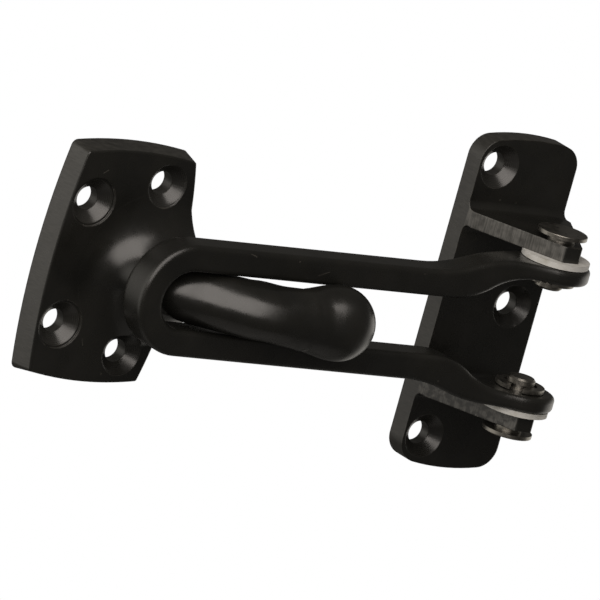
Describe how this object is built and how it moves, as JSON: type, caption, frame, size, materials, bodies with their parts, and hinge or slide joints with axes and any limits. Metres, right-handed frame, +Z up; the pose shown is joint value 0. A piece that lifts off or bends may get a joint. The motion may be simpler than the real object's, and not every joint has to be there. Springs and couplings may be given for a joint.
{
  "type": "swing bar door guard",
  "caption": "Swing bar door guard: a U-shaped bar pivots between the ears of a hinge plate and slides along the ball-ended horn of a cast keeper, holding a door ajar.",
  "frame": {"origin": "centre of the hinge plate's back face", "axes": "+X from the keeper towards the hinge plate, +Y into the door, +Z up along the pivot"},
  "size_m": [0.1319, 0.0392, 0.075],
  "materials": {
    "bronzed_casting": "very dark oil-rubbed bronze, satin, over cast zinc",
    "plated_steel": "bright zinc plating",
    "white_nylon": "white nylon, matt"
  },
  "bodies": {
    "hinge": {"hinge_plate": "bronzed_casting", "upper_pivot_pin": "plated_steel", "lower_pivot_pin": "plated_steel", "upper_washer": "white_nylon", "lower_washer": "white_nylon", "upper_retaining_clip": "plated_steel", "lower_retaining_clip": "plated_steel"},
    "bar": {"swing_bar": "bronzed_casting"},
    "keeper": {"keeper": "bronzed_casting"}
  },
  "joints": [
    {"name": "bar_swing", "type": "hinge", "parent": "hinge", "child": "bar", "pos_m": [0, -0.0225, 0], "axis": [0, 0, 1], "range_deg": [0, 180]},
    {"name": "keeper_slide", "type": "slide", "parent": "bar", "child": "keeper", "axis": [1, 0, 0], "range_m": [-0.0015, 0.045]}
  ]
}
